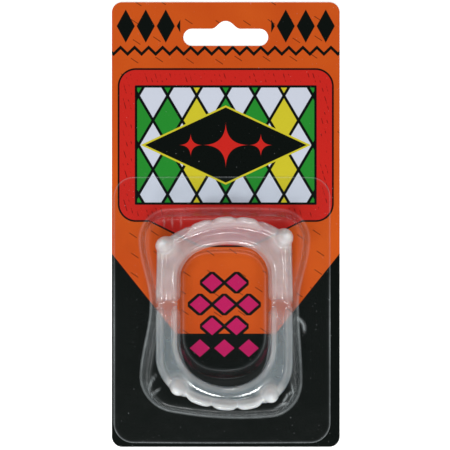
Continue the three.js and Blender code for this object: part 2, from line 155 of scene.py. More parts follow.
def half_outline(arch, waist, inset):
    """Half an outline on the right: the side eases from the waist to the arch's half width, an arc rounds the
    corner, and a wide arc of radius half width + flatness crosses the front; all moved in by inset."""
    half = arch["half"] - inset
    corner = max(min(arch["corner"], arch["half"] * WIDEST_CORNER) - inset, SMALLEST_CORNER)
    front = half + arch["flatness"]
    corner_x = half - corner
    climb = corner_climb(half, corner, arch["flatness"])
    front_y = arch["reach"] - inset - front
    turn = np.arctan2(climb, corner_x)
    share = (np.arange(SIDE_STEPS) / SIDE_STEPS) ** STEP_CROWDING
    side_x = waist - inset + (half - waist + inset) * ease(share)
    side = np.stack([side_x, (front_y + climb) * share], 1)
    angle = turn * np.arange(CORNER_STEPS) / CORNER_STEPS
    bend = np.stack([corner_x + corner * np.cos(angle), front_y + climb + corner * np.sin(angle)], 1)
    angle = turn + (np.pi / 2 - turn) * 2 * np.arange(FRONT_STEPS // 2 + 1) / FRONT_STEPS
    across = np.stack([front * np.cos(angle), front_y + front * np.sin(angle)], 1)
    right = np.concatenate([side, bend, across])
    return np.concatenate([right, right[1:-1][::-1] * (-1, 1)])


def outline(shape, inset=0.0):
    """A closed outline, anticlockwise from the right-hand end of the hinge line: the upper half, then the
    lower half turned half round, which eases to one side by the lean and reaches lower on one side by
    tilt * x. Every outline has the same number of points."""
    above = half_outline(shape["upper"], shape["waist"], inset)
    below = half_outline(shape["lower"], shape["waist"], inset)
    left_end = np.array([[-(shape["waist"] - inset), 0.0]])
    x, y = np.concatenate([above, left_end, -below[1:]]).T
    aside = shape["shift"] + shape["lean"] * ease(-y / shape["lower"]["half"])
    return np.stack([x + aside, y * (1 + np.where(y < 0, shape["tilt"] * x, 0.0))], 1)


def fan(flat):
    """y grows by a small share of x, so the ring's right-hand arm is longer than its left."""
    x, y = flat[:, 0], flat[:, 1]
    return np.stack([x, y * (1 + by_arch(y, FAN) * x)], 1)


def row_quads(count, around, looped=False):
    """Quads between neighbouring rows of points that go round, the last row joined to the first if looped."""
    r = np.arange(count if looped else count - 1)[:, None]
    i = np.arange(around)[None, :]
    j = (i + 1) % around
    up = ((r + 1) % count) * around
    return np.stack([r * around + i, r * around + j, up + j, up + i], -1).reshape(-1, 4).tolist()


def closed_skin(rows, looped):
    """Vertices and faces of a closed skin from rows of points that go round it: a loop of rows, or else rows
    between two ends, each closed by a fan to its middle."""
    rows = np.asarray(rows, float)
    count, around = rows.shape[:2]
    vertices = rows.reshape(-1, 3)
    faces = row_quads(count, around, looped)
    if not looped:
        vertices = np.concatenate([vertices, rows[[0, -1]].mean(axis=1)])
        i = np.arange(around)
        j = np.roll(i, -1)
        top = (count - 1) * around
        start = np.stack([np.full(around, count * around), j, i], 1)
        end = np.stack([np.full(around, count * around + 1), top + i, top + j], 1)
        faces += start.tolist() + end.tolist()
    return vertices, faces


def mesh_object(name, vertices, faces, smooth=True):
    """A mesh object at the origin, its vertices given in millimetres."""
    mesh = bpy.data.meshes.new(name)
    mesh.from_pydata((np.asarray(vertices) * MM).tolist(), [], faces)
    mesh.polygons.foreach_set("use_smooth", np.full(len(mesh.polygons), smooth))
    mesh.update()
    piece = bpy.data.objects.new(name, mesh)
    bpy.context.scene.collection.objects.link(piece)
    return piece


def mesh_points(mesh):
    """A mesh's vertices in millimetres, as rows of x, y, z."""
    flat = np.empty(len(mesh.vertices) * 3, np.float32)
    mesh.vertices.foreach_get("co", flat)
    return flat.reshape(-1, 3).astype(float) / MM


def keep_value(mesh, name, values):
    """One number on each vertex, for the material to read by name."""
    layer = mesh.attributes.new(name, "FLOAT", "POINT")
    layer.data.foreach_set("value", np.asarray(values, np.float32))


# The heights of the moulding, over the place of each point


def standing(y):
    """How much of the full section stands: none in the hinge's web, all of it beyond the hinge's run."""
    return ease((np.abs(y) - HINGE_HALF_WIDTH) / HINGE_RUN)


def corner_height(arch):
    """How far from the hinge line an arch's side runs before its corner."""
    climb = corner_climb(arch["half"], arch["corner"], arch["flatness"])
    return arch["reach"] - (arch["half"] + arch["flatness"]) + climb


def front_share(y):
    """0 along an arm, easing to 1 round the front."""
    straight = by_arch(y, {name: corner_height(RING[name]) for name in ("upper", "lower")})
    return ease((np.abs(y) - straight * FRONT_START) / (straight * FRONT_RUN))


def tooth_edge(x, y):
    """1 in the middle of a front tooth and 0 at the notch beside it: 1 - (place across the tooth)^4."""
    place = x / by_arch(y, TOOTH_WIDTH) + TEETH_PER_ARCH / 2
    across = 2 * (place - np.floor(place)) - 1
    return np.where((place > 0) & (place < TEETH_PER_ARCH), 1 - np.abs(across) ** 4, 0.0)


def tooth_row(x, y):
    """1 along the row of front teeth, easing to 0 in the low gap beside the fang."""
    past = np.abs(x) - by_arch(y, TOOTH_WIDTH) * TEETH_PER_ARCH / 2
    return (1 - ease(past / TOOTH_ROW_FADE)) * front_share(y)


def floor_z(x, y):
    """The top of the floor, which thickens from the hinge's web over a run."""
    thicker = (FLOOR_THICK - WEB_THICK) * ease((np.abs(y) - HINGE_HALF_WIDTH) / WEB_RUN)
    return CEILING_Z + WEB_THICK + thicker


def pad_z(x, y):
    """The floor, with the raised pad on the upper arch's arms."""
    climb = ease((np.abs(y) - HINGE_HALF_WIDTH) / PAD_RUN)
    return floor_z(x, y) + np.where(y > 0, ARM_PAD * climb * (1 - front_share(y)), 0.0)


def ridge_z(x, y):
    """The top of the inner ridge, which is worn low round the fronts."""
    rise = RIDGE_RISE * standing(y) * (1 - RIDGE_WEAR * front_share(y))
    return np.maximum(floor_z(x, y) + rise, pad_z(x, y) + RIDGE_OVER_PAD)


def rim_z(x, y):
    """The top of the outer wall: scalloped teeth round the front, a plain rim past them and on the arms."""
    tooth = by_arch(y, TOOTH_RISE) - NOTCH_DROP * (1 - tooth_edge(x, y))
    above = ARM_RIM_RISE + (tooth - ARM_RIM_RISE) * tooth_row(x, y)
    return floor_z(x, y) + above * standing(y)


def gum_line(x, y):
    """The height at which the teeth come out of the gum: an arch over each tooth, high between two teeth."""
    return floor_z(x, y) - GUM_LINE_DROP - GUM_ARCH * tooth_edge(x, y) * tooth_row(x, y)


def foot_z(cut, lift=0.0):
    """A height over the foot of the walls, by a cut and a lift, which goes up to the ceiling at a hinge."""
    return lambda x, y: CEILING_Z - (GUM_DEPTH - cut - lift) * standing(y)


def at_share(low, high, share):
    """A height between two others, by a share from 0 to 1."""
    return lambda x, y: low(x, y) + (high(x, y) - low(x, y)) * share


def lowered(height, drop):
    """Another height less a drop, which is nothing at a hinge."""
    return lambda x, y: height(x, y) - drop * standing(y)


def ring_row(shape, inset, height):
    """A row on an outline at an inset, each point at the height of its place."""
    flat = outline(shape, inset)
    return np.column_stack([fan(flat), height(flat[:, 0], flat[:, 1])])


def blended_row(start, end, share_at, height):
    """Each point goes from one outline towards another by its own share."""
    share = share_at(start[:, 0], start[:, 1])[:, None]
    flat = start + (end - start) * share
    return np.column_stack([fan(flat), height(start[:, 0], start[:, 1])])


def face_row(inset, tooth_inset, groove, height):
    """A row on the outer face: at one inset along the arms, at another along the front teeth, and further in
    by the groove at each notch between two of them. Each share is of 1 mm."""
    start = outline(RING, inset)

    def share(x, y):
        return (tooth_inset - inset + groove * (1 - tooth_edge(x, y))) * tooth_row(x, y)

    return blended_row(start, outline(RING, inset + 1.0), share, height)


def ridge_row(share, height):
    """A row on the inner ridge, whose width goes from its arm value to its front value."""
    start = outline(MOUTH, -ARM_RIDGE * share)
    end = outline(MOUTH, -FRONT_RIDGE * share)
    return blended_row(start, end, lambda x, y: front_share(y) * by_arch(y, RIDGE_WIDENING), height)


def inner_row(inset, lean, height):
    """A row on the inner wall, which leans into the mouth by the given lean along the arms."""
    return blended_row(
        outline(MOUTH, inset + lean),
        outline(MOUTH, inset),
        lambda x, y: np.maximum(front_share(y), 1 - standing(y)),
        height,
    )


def moulding_ring():
    """The ring without its fangs: sections of gum wall, teeth, floor, ridge and inner wall, with the trough
    under the floor, carried once round the outline. A face row gives its inset along the arms, its inset
    along the teeth, the groove at a notch, and its height."""
    rows = [
        face_row(0.5, 0.75, 0.0, foot_z(0)),
        face_row(0.12, 0.55, 0.0, foot_z(0, 0.25)),
        face_row(0.0, 0.5, 0.0, foot_z(0, 0.9)),
        face_row(0.2, 0.5, 0.2, lambda x, y: gum_line(x, y) - 0.5 * standing(y)),
        face_row(0.3, 0.5, 0.4, gum_line),
        face_row(0.45, 0.3, 0.8, lambda x, y: gum_line(x, y) + 0.3 * standing(y)),
        face_row(0.8, 0.12, 1.1, at_share(gum_line, rim_z, 0.35)),
        face_row(1.3, 0.1, 1.15, at_share(gum_line, rim_z, 0.6)),
        face_row(1.75, 0.3, 1.15, lowered(rim_z, 0.85)),
        face_row(2.0, 0.6, 1.0, lowered(rim_z, 0.3)),
        face_row(2.5, 1.3, 0.6, rim_z),
        face_row(2.85, 2.0, 0.3, lowered(rim_z, 0.12)),
        face_row(3.1, 2.5, 0.1, lowered(rim_z, 0.5)),
        face_row(3.2, 2.8, 0.0, at_share(pad_z, rim_z, 0.66)),
        face_row(3.3, 3.1, 0.0, at_share(pad_z, rim_z, 0.4)),
        face_row(3.45, 3.5, 0.0, at_share(pad_z, rim_z, 0.2)),
        face_row(3.7, 4.0, 0.0, at_share(pad_z, rim_z, 0.06)),
        face_row(4.0, 4.6, 0.0, pad_z),
        ridge_row(1.0, pad_z),
        ridge_row(0.86, ridge_z),
        ridge_row(0.3, ridge_z),
        ridge_row(0.1, lowered(ridge_z, 0.35)),
        ring_row(MOUTH, 0.0, lowered(floor_z, 0.4)),
        inner_row(-0.05, INNER_WALL_LEAN * 0.3, foot_z(INNER_WALL_CUT, 2.4)),
        inner_row(-0.1, INNER_WALL_LEAN, foot_z(INNER_WALL_CUT)),
        inner_row(-GUM_WALL, INNER_WALL_LEAN, foot_z(INNER_WALL_CUT)),
        ring_row(MOUTH, -GUM_WALL - 0.1, lambda x, y: np.full_like(x, CEILING_Z)),
        ring_row(RING, 0.6 + GUM_WALL, lambda x, y: np.full_like(x, CEILING_Z)),
        ring_row(RING, 0.5 + GUM_WALL, foot_z(0)),
    ]
    return closed_skin(rows, looped=True)


FANGS = {
    "upper": {"radius": 3.7, "inset": 1.4, "round": 1.0, "rise": 10.5, "milk": 0.76},
    "lower": {"radius": 3.6, "inset": 2.6, "round": 0.93, "rise": 7.5, "milk": 0.96},
}
FANG_LEAN = 0.9
FANG_TUCK = 0.5
FANG_ROOT_LIFT = 1.6
FANG_ROOT_DEPTH = 1.7
FANG_BOX_GAP = 0.05
FANG_NECK = 0.74
FANG_BLUNTNESS = 2.2
FANG_FLATTENING = 0.04
FANG_RINGS = 36
FANG_SIDES = 40


def fang_seat(arch_name):
    """Where a fang stands on the right: on the inset corner arc, near where it runs into the front arc. Also
    the way out from the ring there."""
    arch, size = RING[arch_name], FANGS[arch_name]
    half = arch["half"] - size["inset"]
    corner = arch["corner"] - size["inset"]
    climb = corner_climb(half, corner, arch["flatness"])
    turn = np.arctan2(climb, half - corner) * size["round"]
    out = np.array([np.cos(turn), np.sin(turn)])
    seat = np.array([half - corner, arch["reach"] - size["inset"] - (half + arch["flatness"]) + climb])
    return seat + corner * out, out


def fang(arch_name, side):
    """One fang: rings whose radius falls as sqrt(1 - height^2.2) to a round point from a narrower neck, on a
    line that leans out with the square of the height, a little flattened across the way out. Under the floor
    its root keeps to the outer wall."""
    size = FANGS[arch_name]
    seat, out = fang_seat(arch_name)
    up = 1 if arch_name == "upper" else -1
    root_z = FOOT_Z + FANG_ROOT_LIFT
    tip_z = FLOOR_TOP + size["rise"] - FANG_BOX_GAP
    share = np.sin(np.linspace(0.0, np.pi / 2, FANG_RINGS + 1))[:-1, None]
    reach = size["radius"] * np.minimum(1.0, FANG_NECK + share) * np.sqrt(1 - share**FANG_BLUNTNESS)
    height = root_z + (tip_z - root_z) * share
    angle = 2 * np.pi * np.arange(FANG_SIDES) / FANG_SIDES
    outward = reach * np.cos(angle) * (1 - FANG_FLATTENING)
    outward = outward + FANG_LEAN * share**2 - FANG_TUCK * (1 - share)
    kept_out = np.maximum(outward, size["inset"] - FANG_ROOT_DEPTH)
    outward = np.where(height < CEILING_Z, kept_out, outward)
    sideward = reach * np.sin(angle) * (1 + FANG_FLATTENING)
    along = np.array([-out[1], out[0]])
    flat = seat + outward[:, :, None] * out + sideward[:, :, None] * along
    turned = fan((flat * (side, up)).reshape(-1, 2)).reshape(flat.shape)
    rows = np.concatenate([turned, np.broadcast_to(height, outward.shape)[:, :, None]], 2)
    if side * up < 0:
        rows = rows[:, ::-1]
    return closed_skin(rows, looped=False)


def join_skins(skins):
    """Several closed skins in one list of vertices and faces."""
    vertices = np.concatenate([v for v, _ in skins])
    starts = np.cumsum([0] + [len(v) for v, _ in skins[:-1]])
    faces = [[i + start for i in face] for (_, fs), start in zip(skins, starts) for face in fs]
    return vertices, faces


def finished(piece, *modifiers):
    """The piece with its modifiers worked into its mesh."""
    for kind, settings in modifiers:
        modifier = piece.modifiers.new(kind.title(), kind)
        for key, value in settings.items():
            setattr(modifier, key, value)
    graph = bpy.context.evaluated_depsgraph_get()
    mesh = bpy.data.meshes.new_from_object(piece.evaluated_get(graph))
    piece.modifiers.clear()
    piece.data = mesh
    mesh.polygons.foreach_set("use_smooth", np.full(len(mesh.polygons), True))
    return piece


def distance_to(outline_points, places):
    """How far each place lies from the nearest point of an outline, in blocks that keep the arrays small."""
    near = np.empty(len(places))
    for start in range(0, len(places), DISTANCE_BLOCK):
        block = places[start : start + DISTANCE_BLOCK, None, :] - outline_points[None, :, :]
        near[start : start + DISTANCE_BLOCK] = np.sqrt((block**2).sum(2)).min(1)
    return near


# How much of the light one skin of each part stops, round the fronts and along the arms
MILK = {
    "floor": {"front": {"upper": 0.21, "lower": 0.14}, "arm": {"upper": 0.28, "lower": 0.14}},
    "rim": {"front": {"upper": 0.09, "lower": 0.12}, "arm": {"upper": 0.04, "lower": 0.12}},
    "ridge": {"front": {"upper": 0.02, "lower": 0.14}, "arm": {"upper": 0.02, "lower": 0.23}},
    "teeth": {"front": {"upper": 0.49, "lower": 0.76}, "arm": {"upper": 0.49, "lower": 0.76}},
}
# Where a part's milk lies: near its line, fading away from it, and over a low height, growing as it climbs
MILK_PLACE = {
    "rim": {"near": 2.9, "fade": 1.0, "low": FLOOR_TOP - 0.8, "climb": 1.2},
    "ridge": {"near": 1.2, "fade": 1.4, "low": FLOOR_TOP - 0.9, "climb": 0.9},
    "teeth": {"near": 3.3, "fade": 1.2, "low": FLOOR_TOP - 0.8, "climb": 1.2},
    "fang": {"near": 0.55, "fade": 0.75, "low": FOOT_Z + 2.0, "climb": 4.0},
}
WEB_MILK = {"milk": 0.09, "near": 0.3, "fade": 4.5}
FANG_HALO = {"milk": 0.2, "near": 0.9, "fade": 1.1}
FANG_MIDDLE_OUT = 0.3
DISTANCE_BLOCK = 4096
VOXEL = {"quick": 0.6, "full": 0.36}
SMOOTHING = {"factor": 0.5, "iterations": 12}


def part_milk(part, y, arm):
    """A part's milk, which goes from its value round the front to its value along an arm."""
    front = by_arch(y, MILK[part]["front"])
    return front + (by_arch(y, MILK[part]["arm"]) - front) * arm


def fading(distance, place):
    """1 as far as near, easing to 0 over the fade."""
    return 1 - ease((distance - place["near"]) / place["fade"])


def nearness(part, distance, z):
    """How much of a part's milk a point has, by its distance from the part's line and its height."""
    place = MILK_PLACE[part]
    return fading(distance, place) * ease((z - place["low"]) / place["climb"])


def milkiness(points):
    """How much of the light one skin of the moulding stops: a thin floor little, rims and walls more, and the
    thick teeth and fangs most."""
    flat, z = points[:, :2], points[:, 2]
    x = flat[:, 0]
    y = flat[:, 1] / (1 + by_arch(flat[:, 1], FAN) * x)
    from_edge = distance_to(fan(outline(RING)), flat)
    from_mouth = distance_to(fan(outline(MOUTH)), flat)
    arm = (1 - front_share(y)) * standing(y)
    milk = part_milk("floor", y, arm)
    milk = milk + (WEB_MILK["milk"] - milk) * fading(np.abs(y), WEB_MILK)
    milk = milk + part_milk("rim", y, arm) * nearness("rim", from_edge, z)
    milk = milk + part_milk("ridge", y, arm) * nearness("ridge", from_mouth, z)
    milk = milk + (part_milk("teeth", y, arm) - milk) * nearness("teeth", from_edge, z) * tooth_row(x, y)
    for arch_name, up in (("upper", 1), ("lower", -1)):
        size = FANGS[arch_name]
        seat, out = fang_seat(arch_name)
        for side in (-1, 1):
            centre = fan(((seat + out * FANG_MIDDLE_OUT) * (side, up))[None])[0]
            away = np.sqrt(((flat - centre) ** 2).sum(1)) / size["radius"]
            milk = milk + FANG_HALO["milk"] * fading(away, FANG_HALO)
            milk = milk + (size["milk"] - milk) * nearness("fang", away, z)
    return milk


def make_moulding():
    """The denture as one continuous moulding: the ring and its four fangs fused by a voxel remesh, then
    smoothed so that their joins become soft fillets."""
    skins = [moulding_ring()]
    skins += [fang(arch_name, side) for arch_name in FANGS for side in (-1, 1)]
    vertices, faces = join_skins(skins)
    piece = mesh_object("fang_moulding", vertices + (HINGE_X, HINGE_Y, 0), faces)
    voxel = VOXEL["full"] * MM
    remesh = {"mode": "VOXEL", "voxel_size": voxel, "adaptivity": 0.0}
    finished(piece, ("REMESH", remesh), ("SMOOTH", SMOOTHING))
    points = mesh_points(piece.data) - (HINGE_X, HINGE_Y, 0)
    keep_value(piece.data, "milk", milkiness(points))
    return piece


# The blister
SHEET = 0.35
DOME_DRAFT = 2.1
DOME_SHOULDER = 2.0
DOME_FILLET = 0.6
WELL_DRAFT = 0.7
WELL_SHOULDER = 0.9
BEND_STEPS = 8
WALL_STEPS = 12
CROWN_ROWS = {"first": 0.6, "last": 4.2, "count": 7}
WELL_MOUTH = 0.8
# Rows of the flat flange, by how far out from the dome they run
APRON = (6.5, 5.6, 4.9, 4.2, 3.6, 3.0, 2.5, 2.0, 1.6, 1.2)
# How hazy the sheet is: in rows in from its cut edge and from the well's wall, and along each stretch.
# The haze at the cut edge is a painted highlight: a pale line where the edge catches the light.
CUT_EDGE_PAINTED_HIGHLIGHT = ((0.0, 4.5), (0.25, 2.0), (0.6, 0.2), (1.2, 0.02))
WELL_FOOT = ((0.0, 1.3), (0.5, 0.3), (1.2, 0.02))
FLAT_HAZE = 0.02
FILLET_HAZE = (2.4, 2.2)
WALL_HAZE = (2.2, 1.4)
SHOULDER_HAZE = (1.3, 0.4)
CROWN_HAZE = 0.15
WELL_MOUTH_HAZE = 0.2
WELL_SHOULDER_HAZE = (0.1, 0.3)
WELL_WALL_HAZE = (0.3, 0.9)
# How the haze changes up the sheet: less above the hinge line, more round the waist
HAZE_ALONG = {"upper_loss": 0.5, "upper_run": 20, "waist_gain": 0.6, "waist_y": -10, "waist_reach": 12}
# Where the sheet was squeezed, by place from the middle of the hinge line
DENTS = table(
    "x y wide tall deep folds",
    (28.4, -8.5, 2.6, 4.0, 0.8, 1.2),
    (25.5, -35.5, 4.5, 4.0, 1.0, 2.1),
    (-28.5, -31.5, 3.6, 4.6, 1.0, 1.7),
    (30.6, 30.0, 3.0, 3.0, 0.4, 1.5),
    (-29.5, 12.0, 2.0, 4.0, 0.35, 1.4),
)
CREASES = table(
    "x y turn long wide bend strong",
    (-27.4, -28.2, 66, 3.0, 0.34, 0.05, 4.0),
    (-26.0, -32.2, 35, 2.4, 0.3, -0.05, 3.5),
    (-29.4, -32.6, 112, 2.8, 0.34, 0.04, 2.5),
    (23.2, -33.6, 52, 3.2, 0.26, 0.07, 5.0),
    (25.8, -31.8, 96, 3.0, 0.24, -0.05, 4.0),
    (21.6, -36.6, 18, 2.6, 0.28, 0.06, 4.5),
    (26.8, -36.0, 128, 2.2, 0.26, 0.04, 3.0),
    (27.0, -5.2, 70, 2.6, 0.3, 0.08, 4.0),
    (-22.4, 32.6, 88, 2.6, 0.2, 0.0, 2.0),
    (-19.6, 33.0, 92, 2.8, 0.2, 0.01, 2.4),
    (-16.2, 32.4, 90, 2.4, 0.2, 0.0, 1.8),
)
DENT_RISE = {"above_flange": 0.8, "run": 2.5}
DENT_FALL = {"below_crown": 2.5, "run": 2.4}
DENT_FOLDS = {"v": 2.2, "u": 0.9, "height": 0.22, "shallow": 0.45, "haze": 3.5}
CREASE_RISE = {"above_flange": 1.5, "run": 2.0}
CREASE_DEPTH = 0.35
PUCKER = {"x": 30.0, "y": -7.0, "way": (0.5, -0.87), "long": 3.0, "wide": 0.55, "bend": 0.09}
PUCKER_HEIGHT = 0.8
PUCKER_HAZE = 8.0
FLANGE_MARGIN = 0.3
TINY = 1e-6


def quarter_turn(start, end, hazes, convex):
    """Points on a rounded bend between two places of a profile, each an inset and a height, with the haze
    going evenly from one value to the other. A convex bend starts up the wall, and any other along the
    flat."""
    turn = np.linspace(0.0, np.pi / 2, BEND_STEPS)
    first, second = np.sin(turn), 1 - np.cos(turn)
    inset_share, height_share = (second, first) if convex else (first, second)
    insets = start[0] + (end[0] - start[0]) * inset_share
    heights = start[1] + (end[1] - start[1]) * height_share
    return list(zip(insets, heights, np.linspace(*hazes, BEND_STEPS)))


def drafted_wall(draft, start, end, hazes):
    """Points on a straight wall that moves in by the draft between two heights, both left out."""
    share = np.linspace(0.0, 1.0, WALL_STEPS + 2)[1:-1]
    return [(draft * s, start + (end - start) * s, hazes[0] + (hazes[1] - hazes[0]) * s) for s in share]


def sheet_profile():
    """The sheet's upper side from the flange's edge to the middle of the well: flange, fillet, drafted wall,
    round shoulder, crown, and the well's shoulder, wall and floor. Each row has its outline, its inset and
    height, and how hazy the stretched or bent sheet is there; at the cut edge that haze is a painted
    highlight."""
    low, high = SHEET_LOW[2] + SHEET, SHEET_HIGH[2]
    # The cut edge's rows carry its painted highlight as haze
    edge = [(inset, low, haze) for inset, haze in CUT_EDGE_PAINTED_HIGHLIGHT]
    dome = [(-inset, low, FLAT_HAZE) for inset in APRON]
    foot, top = low + DOME_FILLET, high - DOME_SHOULDER
    dome += quarter_turn((-DOME_FILLET, low), (0.0, foot), FILLET_HAZE, convex=False)
    dome += drafted_wall(DOME_DRAFT, foot, top, WALL_HAZE)
    crown = DOME_DRAFT + DOME_SHOULDER
    dome += quarter_turn((DOME_DRAFT, top), (crown, high), SHOULDER_HAZE, convex=True)
    past = np.linspace(CROWN_ROWS["first"], CROWN_ROWS["last"], CROWN_ROWS["count"])
    dome += [(crown + p, high, CROWN_HAZE / (1 + p)) for p in past]
    well = [(-WELL_SHOULDER - WELL_MOUTH, high, WELL_MOUTH_HAZE)]
    top = high - WELL_SHOULDER
    well += quarter_turn((-WELL_SHOULDER, high), (0.0, top), WELL_SHOULDER_HAZE, convex=False)
    well += drafted_wall(WELL_DRAFT, top, low, WELL_WALL_HAZE)
    well += [(WELL_DRAFT + inset, low, haze) for inset, haze in WELL_FOOT]
    shapes = [(FLANGE, edge), (DOME, dome), (WELL, well)]
    return [(shape, *place) for shape, places in shapes for place in places]


def stroke(vertices, line, way):
    """1 on a short line that bends aside with the square of the distance along it, fading beside it and past
    its ends as exp(-along^4 - across^2)."""
    dx, dy = vertices[:, 0] - line["x"], vertices[:, 1] - line["y"]
    along = dx * way[0] + dy * way[1]
    across = dy * way[0] - dx * way[1] + line["bend"] * along**2
    return np.exp(-((along / line["long"]) ** 4) - (across / line["wide"]) ** 2)


def crumple(vertices, haze):
    """Presses each dent into the dome's wall: a soft dip that fades as exp(-distance^2), with sharp folds
    across it as |sin|, more haze along the folds, and none of it on the flange or the crown. Then cuts short
    creases into the wall and the crown, hazy and a little sunk, and raises a pucker in the flange."""
    # These three are views, so a change to height changes the vertices
    x, y, height = vertices.T
    over = height - SHEET_LOW[2]
    under = SHEET_HIGH[2] - height
    rise = ease((over - DENT_RISE["above_flange"]) / DENT_RISE["run"])
    rise = rise * (1 - ease((DENT_FALL["below_crown"] - under) / DENT_FALL["run"]))
    away = np.hypot(x, y) + TINY
    for dent in DENTS:
        u = (x - dent["x"]) / dent["wide"]
        v = (y - dent["y"]) / dent["tall"]
        soft = np.exp(-(u**2) - v**2)
        wave = v * DENT_FOLDS["v"] + u * DENT_FOLDS["u"] + height * DENT_FOLDS["height"]
        folds = np.abs(np.sin(dent["folds"] * wave))
        depth = DENT_FOLDS["shallow"] + (1 - DENT_FOLDS["shallow"]) * folds
        press = dent["deep"] * soft * rise * depth
        vertices[:, :2] -= (press / away)[:, None] * vertices[:, :2]
        haze = haze + DENT_FOLDS["haze"] * soft * rise * (1 - folds) ** 3
    for crease in CREASES:
        turn = np.radians(crease["turn"])
        line = stroke(vertices, crease, (np.cos(turn), np.sin(turn)))
        above = height - SHEET_LOW[2] - CREASE_RISE["above_flange"]
        line = line * ease(above / CREASE_RISE["run"])
        haze = haze + crease["strong"] * line
        height -= CREASE_DEPTH * line
    fold = stroke(vertices, PUCKER, PUCKER["way"])
    fold = fold * (height < SHEET_LOW[2] + SHEET + FLANGE_MARGIN)
    height += PUCKER_HEIGHT * fold
    return vertices, haze + PUCKER_HAZE * fold


def make_blister():
    """The blister's upper side as rows of outlines that follow the sheet's profile, crumpled a little where
    it was squeezed, and given its thickness towards the card."""
    profile = sheet_profile()
    rows = np.array([np.column_stack([outline(shape, inset), np.full(OUTLINE_POINTS, height)])
                     for shape, inset, height, _ in profile])
    vertices = np.concatenate([rows.reshape(-1, 3), rows[-1].mean(axis=0)[None]])
    last = (len(rows) - 1) * OUTLINE_POINTS + np.arange(OUTLINE_POINTS)
    middle = np.full(OUTLINE_POINTS, len(vertices) - 1)
    faces = row_quads(len(rows), OUTLINE_POINTS)
    faces += np.stack([last, np.roll(last, -1), middle], 1).tolist()
    haze = np.append(np.repeat([row[3] for row in profile], OUTLINE_POINTS), FLAT_HAZE)
    y = vertices[:, 1]
    loss = HAZE_ALONG["upper_loss"] * ease(y / HAZE_ALONG["upper_run"])
    from_waist = (y - HAZE_ALONG["waist_y"]) / HAZE_ALONG["waist_reach"]
    haze = haze * (1 - loss + HAZE_ALONG["waist_gain"] * np.exp(-(from_waist**2)))
    vertices, haze = crumple(vertices, haze)
    piece = mesh_object("blister_shell", vertices + (HINGE_X, HINGE_Y, 0), faces)
    keep_value(piece.data, "haze", haze)
    return finished(piece, ("SOLIDIFY", {"thickness": SHEET * MM, "offset": -1.0}))


class Value:
    """A socket of a material's tree. Arithmetic on values adds the Math nodes that work it out."""

    def __init__(self, tree, socket):
        self.tree = tree
        self.socket = socket

    def math(self, operation, *others, clamp=False):
        node = self.tree.nodes.new("ShaderNodeMath")
        node.operation = operation
        node.use_clamp = clamp
        for slot, value in zip(node.inputs, (self, *others)):
            join(self.tree, slot, value)
        return Value(self.tree, node.outputs[0])

    def __add__(self, other):
        return self.math("ADD", other)

    def __sub__(self, other):
        return self.math("SUBTRACT", other)

    def __rsub__(self, other):
        return (self * -1.0) + other

    def __mul__(self, other):
        return self.math("MULTIPLY", other)

    def __truediv__(self, other):
        return self.math("DIVIDE", other)

    def __abs__(self):
        return self.math("ABSOLUTE")

    __radd__ = __add__
    __rmul__ = __mul__

    def clamped(self):
        return self.math("ADD", 0.0, clamp=True)


def join(tree, slot, value):
    """Links a value to a socket, or sets the socket to a plain number or colour."""
    if isinstance(value, Value):
        tree.links.new(value.socket, slot)
    else:
        slot.default_value = value


class Finish:
    """A material under construction, with one way to add any node."""

    def __init__(self, name):
        self.material = bpy.data.materials.new(name)
        self.material.use_nodes = True
        self.tree = self.material.node_tree
        self.tree.nodes.clear()

    def node(self, kind, settings=None, inputs=None, output=0):
        """Adds a node of a kind: its settings first, then the values or links of its sockets, by name or
        place. Gives one of its outputs, or nothing where it has none."""
        node = self.tree.nodes.new("ShaderNode" + kind)
        for key, value in (settings or {}).items():
            setattr(node, key, value)
        for key, value in (inputs or {}).items():
            join(self.tree, node.inputs[key], value)
        return Value(self.tree, node.outputs[output]) if node.outputs else None

    def place(self):
        """The Object coordinates in millimetres, as three values."""
        where = self.node("TexCoord", output=3)
        split = self.node("SeparateXYZ", None, {0: where}).socket.node
        return tuple(Value(self.tree, out) * (1 / MM) for out in split.outputs)

    def noise(self, scale, detail=3.0, rough=0.5, tall=1.0):
        """A noise between 0 and 1, its scale in lumps for each millimetre, drawn out along Z where tall."""
        where = self.node("TexCoord", output=3)
        if tall != 1.0:
            where = self.node("VectorMath", {"operation": "MULTIPLY"}, {0: where, 1: (1, 1, 1 / tall)})
        inputs = {"Vector": where, "Scale": scale / MM, "Detail": detail, "Roughness": rough}
        return self.node("TexNoise", None, inputs)

    def blend(self, share, low, high):
        """A colour between two others, by a share from 0 to 1."""
        inputs = {0: share, 6: low, 7: high}
        return self.node("Mix", {"data_type": "RGBA"}, inputs, output=2)

    def layer(self, share, under, over):
        """One shader over another, by a share from 0 to 1."""
        return self.node("MixShader", None, {0: share, 1: under, 2: over})

    def turned(self, power):
        """How far the surface is turned from the view, from 0 face on to 1 edge on, to a power."""
        return self.node("LayerWeight", None, {"Blend": 0.5}, output=1).math("POWER", power)

    def grain(self, height, strength, depth):
        """A bump's normal, for a height from 0 to 1 that stands for a depth in millimetres."""
        return self.node("Bump", None, {"Strength": strength, "Distance": depth * MM, "Height": height})

    def gloss(self, normal, roughness):
        """A plain white mirror-like shader, as soft as its roughness."""
        inputs = {"Roughness": roughness, "Color": TINT["white"], "Normal": normal}
        return self.node("BsdfGlossy", None, inputs)

    def shine(self, face_on, edge_on):
        """How much a skin mirrors, the same from both of its sides: one share face on, rising to another edge
        on with the fifth power of how far the view is turned away."""
        return self.turned(SHINE_POWER) * (edge_on - face_on) + face_on

    def end(self, shader):
        """The material, with this shader on its surface."""
        self.node("OutputMaterial", None, {"Surface": shader})
        return self.material


